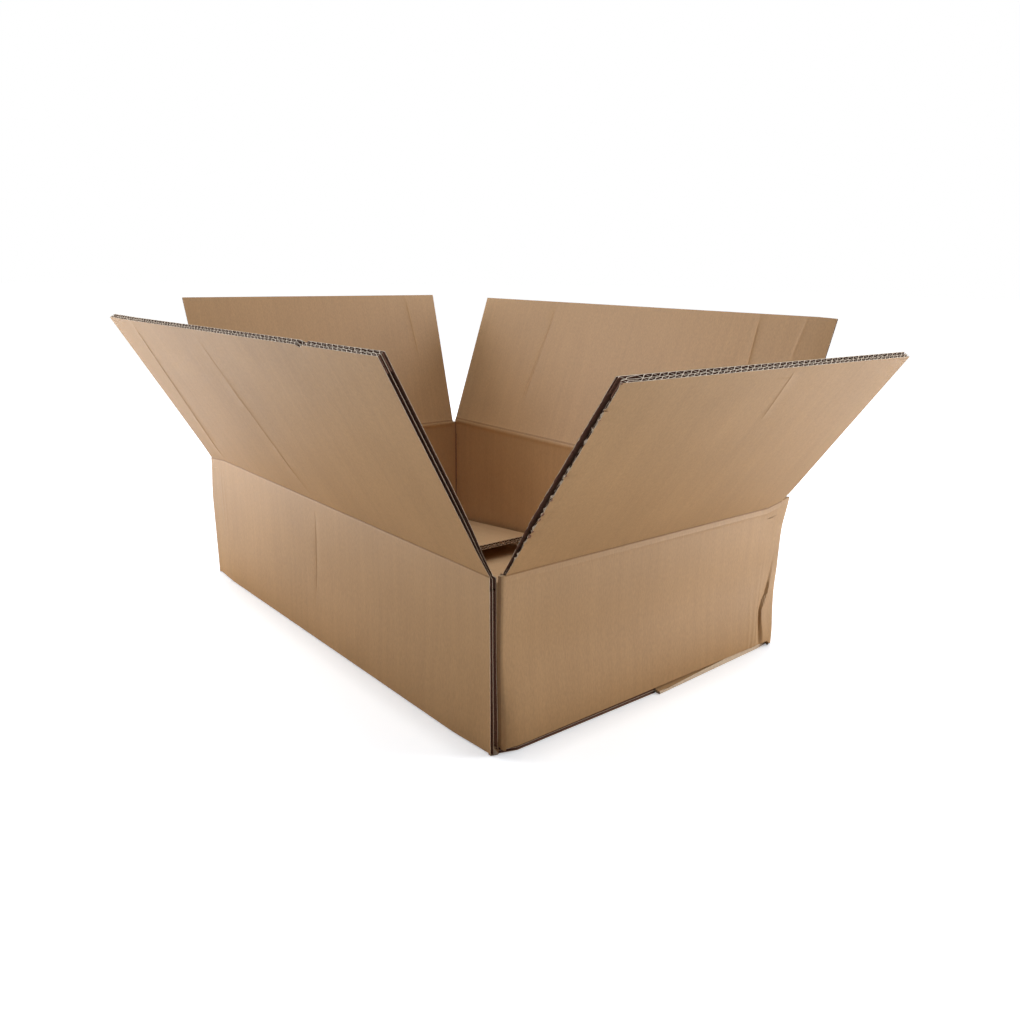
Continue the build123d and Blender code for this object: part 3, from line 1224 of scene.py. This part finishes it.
def make_shell():
    """Walls, tab and bottom with their wear, joined with the sprung bottom flap."""
    sheet = folded_sheet()
    thicken(sheet)
    # Painted shade in the upright corner folds
    shade_corner_folds(sheet)
    open_cut_ends(sheet)
    # Painted shade on the tab bend beside the raw wall end
    paint(sheet, on_tab_bend, SHADED_LINER)
    for score in SCORES["front_wall"]:
        score_line(sheet, *score, front=-outer_width() / 2)
    sag(sheet)
    crumple(sheet)
    bulge(sheet)
    draw_in_corner(sheet)
    raise_back_corner(sheet)
    draw_out_corner(sheet)
    # Painted shade: the top ends at the right get the darker face paper
    paint(sheet, on_shaded_right_rim, LINER_X)
    sheet = join("box_shell_board", [sheet, lifted_flap()])
    finish_piece(sheet)
    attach(sheet, "shell")
    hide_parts("box_shell")


# Stage


def make_floor():
    """Plain floor that is white to the camera, keeps the shadow, has a painted contact shadow where an AO
    node dims its glow next to the box, and is warmer near the box.
    """
    bpy.ops.object.select_all(action="DESELECT")
    bpy.ops.mesh.primitive_plane_add(size=FLOOR_SIZE, location=(0, 0, -FLOOR_DROP))
    floor = bpy.context.object
    floor.name = "floor"
    material, tree, shader = new_material("pale_floor", 1.0, 0.0)
    nodes, links = tree.nodes, tree.links
    path = nodes.new("ShaderNodeLightPath").outputs["Is Camera Ray"]
    where = nodes.new("ShaderNodeTexCoord")
    distance = nodes.new("ShaderNodeVectorMath")
    distance.operation = "LENGTH"
    links.new(where.outputs["Object"], distance.inputs[0])
    nearby = nodes.new("ShaderNodeAmbientOcclusion")
    nearby.samples = 4
    nearby.inputs["Distance"].default_value = CONTACT_REACH

    def mixed(share, first, second):
        node = nodes.new("ShaderNodeMix")
        node.data_type = "RGBA"
        links.new(share, node.inputs[0])
        for socket, value in ((node.inputs[6], first), (node.inputs[7], second)):
            if isinstance(value, tuple):
                socket.default_value = value
            else:
                links.new(value, socket)
        return node.outputs[2]

    far = distance.outputs["Value"]
    share = map_range(tree, far, *BOUNCE_REACH, 0.0, 1.0)
    bounce = mixed(share, (*look().bounce, 1.0), (*look().far_bounce, 1.0))
    links.new(mixed(path, bounce, (*look().floor, 1.0)), shader.inputs["Base Color"])
    glow = nodes.new("ShaderNodeEmission")
    brightness = map_range(tree, far, *GLOW_REACH, 0.6, 1.0)
    # Painted contact shadow: the glow is dimmed where the AO node finds the box close by
    contact = map_range(tree, nearby.outputs["AO"], 0.5, 1.0, 0.6, 1.0)
    level = math_node(tree, "MULTIPLY", brightness, contact)
    links.new(math_node(tree, "MULTIPLY", path, level), glow.inputs["Strength"])
    both = nodes.new("ShaderNodeAddShader")
    links.new(shader.outputs["BSDF"], both.inputs[0])
    links.new(glow.outputs["Emission"], both.inputs[1])
    links.new(both.outputs["Shader"], nodes["Material Output"].inputs["Surface"])
    floor.data.materials.append(material)


def make_world():
    """Dim warm room that is white to the camera."""
    world = bpy.data.worlds.new("pale_room")
    bpy.context.scene.world = world
    world.use_nodes = True
    nodes, links = world.node_tree.nodes, world.node_tree.links
    room = nodes["Background"]
    room.inputs["Color"].default_value = (1.0, 0.91, 0.8, 1.0)
    room.inputs["Strength"].default_value = 0.03
    seen = nodes.new("ShaderNodeBackground")
    seen.inputs["Color"].default_value = (1.0, 1.0, 1.0, 1.0)
    seen.inputs["Strength"].default_value = 1.0
    path = nodes.new("ShaderNodeLightPath")
    mix = nodes.new("ShaderNodeMixShader")
    links.new(path.outputs["Is Camera Ray"], mix.inputs["Fac"])
    links.new(room.outputs["Background"], mix.inputs[1])
    links.new(seen.outputs["Background"], mix.inputs[2])
    links.new(mix.outputs["Shader"], nodes["World Output"].inputs["Surface"])


def make_light(name, where, target, size, power, colour):
    """Soft lamp aimed at a place."""
    bpy.ops.object.select_all(action="DESELECT")
    bpy.ops.object.light_add(type="AREA", location=where)
    lamp = bpy.context.object
    lamp.name = name
    lamp.data.shape = "RECTANGLE"
    lamp.data.size, lamp.data.size_y = size
    lamp.data.energy = power
    lamp.data.color = colour
    lamp.rotation_euler = (Vector(where) - Vector(target)).to_track_quat("Z", "Y").to_euler()


def make_camera():
    """Camera that stands and looks as in the photo."""
    sizes = look()
    bpy.ops.object.camera_add(location=sizes.camera)
    camera = bpy.context.object
    camera.name = "camera"
    camera.data.lens = sizes.lens
    camera.data.shift_y = sizes.shift
    camera.data.clip_start = 0.01
    camera.data.clip_end = 100.0
    azimuth, elevation = sizes.azimuth, sizes.elevation
    back = Vector((
        math.sin(azimuth) * math.cos(elevation),
        -math.cos(azimuth) * math.cos(elevation),
        math.sin(elevation),
    ))
    turn = back.to_track_quat("Z", "Y").to_matrix() @ Matrix.Rotation(sizes.roll, 3, "Z")
    camera.rotation_euler = turn.to_euler()
    bpy.context.scene.camera = camera


class CARTON_OT_stage(bpy.types.Operator):
    """Floor, soft light and the camera"""

    bl_idname = "carton.stage"
    bl_label = "Stage"

    def execute(self, context):
        context.scene.view_settings.view_transform = "Standard"
        make_floor()
        make_world()
        for name, lamp in LAMPS.items():
            make_light(name, *lamp)
        make_camera()
        return {"FINISHED"}


class CARTON_OT_shell(bpy.types.Operator):
    """Walls, glued tab and bottom of the box, folded from one sheet"""

    bl_idname = "carton.shell"
    bl_label = "Folded shell"

    def execute(self, context):
        make_shell()
        return {"FINISHED"}


class CARTON_OT_flaps(bpy.types.Operator):
    """The four top flaps, each with its crease"""

    bl_idname = "carton.flaps"
    bl_label = "Top flaps"

    def execute(self, context):
        for body in FLAPS:
            make_flap(body)
        return {"FINISHED"}


class CARTON_PT_panel(bpy.types.Panel):
    """Sidebar list of the box's pieces"""

    bl_idname = "CARTON_PT_panel"
    bl_label = "Open Cardboard Box"
    bl_space_type = "VIEW_3D"
    bl_region_type = "UI"
    bl_category = "Box"

    def draw(self, context):
        for operator in (CARTON_OT_shell, CARTON_OT_flaps, CARTON_OT_stage):
            self.layout.operator(operator.bl_idname)


GROUPS = {
    "carton_board": BoardSizes,
    "carton_box": BoxSizes,
    "carton_colours": KraftColours,
    "carton_stage": StageLook,
}
CLASSES = (*GROUPS.values(), CARTON_OT_shell, CARTON_OT_flaps, CARTON_OT_stage, CARTON_PT_panel)


def register():
    for cls in CLASSES:
        bpy.utils.register_class(cls)
    for name, group in GROUPS.items():
        setattr(bpy.types.Scene, name, PointerProperty(type=group))


def unregister():
    for name in GROUPS:
        delattr(bpy.types.Scene, name)
    for cls in reversed(CLASSES):
        bpy.utils.unregister_class(cls)


def main():
    register()
    bpy.ops.carton.shell()
    bpy.ops.carton.flaps()
    bpy.ops.carton.stage()


if __name__ == "__main__":
    main()
